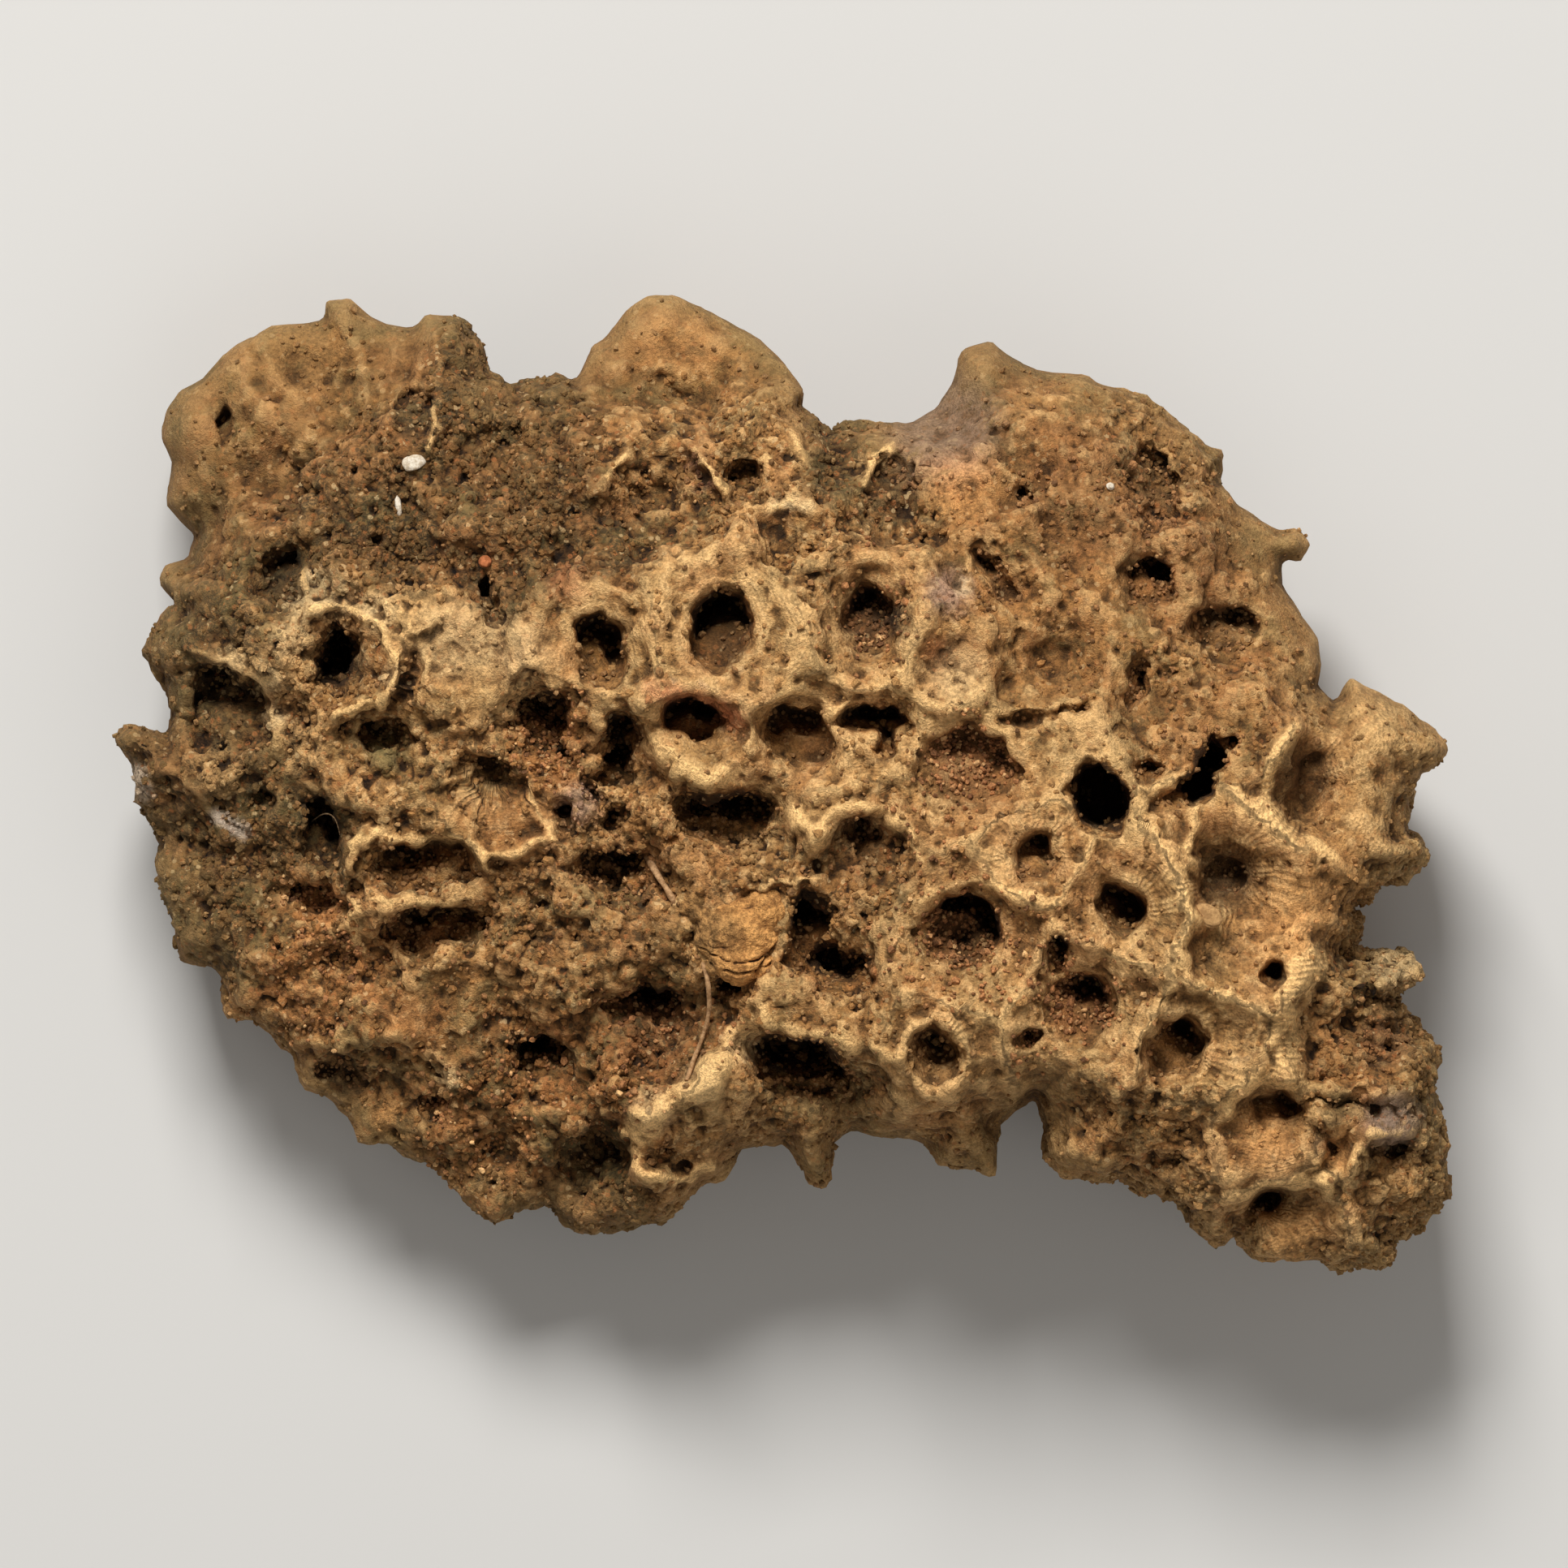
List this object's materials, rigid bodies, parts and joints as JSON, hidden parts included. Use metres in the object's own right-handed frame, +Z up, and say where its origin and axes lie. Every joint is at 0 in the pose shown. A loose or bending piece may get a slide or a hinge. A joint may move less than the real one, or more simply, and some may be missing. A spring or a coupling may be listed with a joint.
{
  "type": "fossil colonial rugose coral",
  "caption": "Loose lump of a fossil coral colony: polygonal corallites grown wall to wall, with deep conical cups, worn pale walls, sandy fill and a ragged outline.",
  "frame": {"origin": "middle of the box round the lump, on the flat base that it rests on", "axes": "+Z up out of the face of cups, +X along the lump's length to its broken lower corner, +Y across it to the side with the two notches"},
  "size_m": [0.1096, 0.0804, 0.0348],
  "materials": {
    "fossil_coral": "dry, rough, earthy",
    "dried_clay": "dry, matt"
  },
  "bodies": {
    "root": {"coral_colony": "fossil_coral", "clay_lump": "dried_clay"}
  },
  "joints": []
}
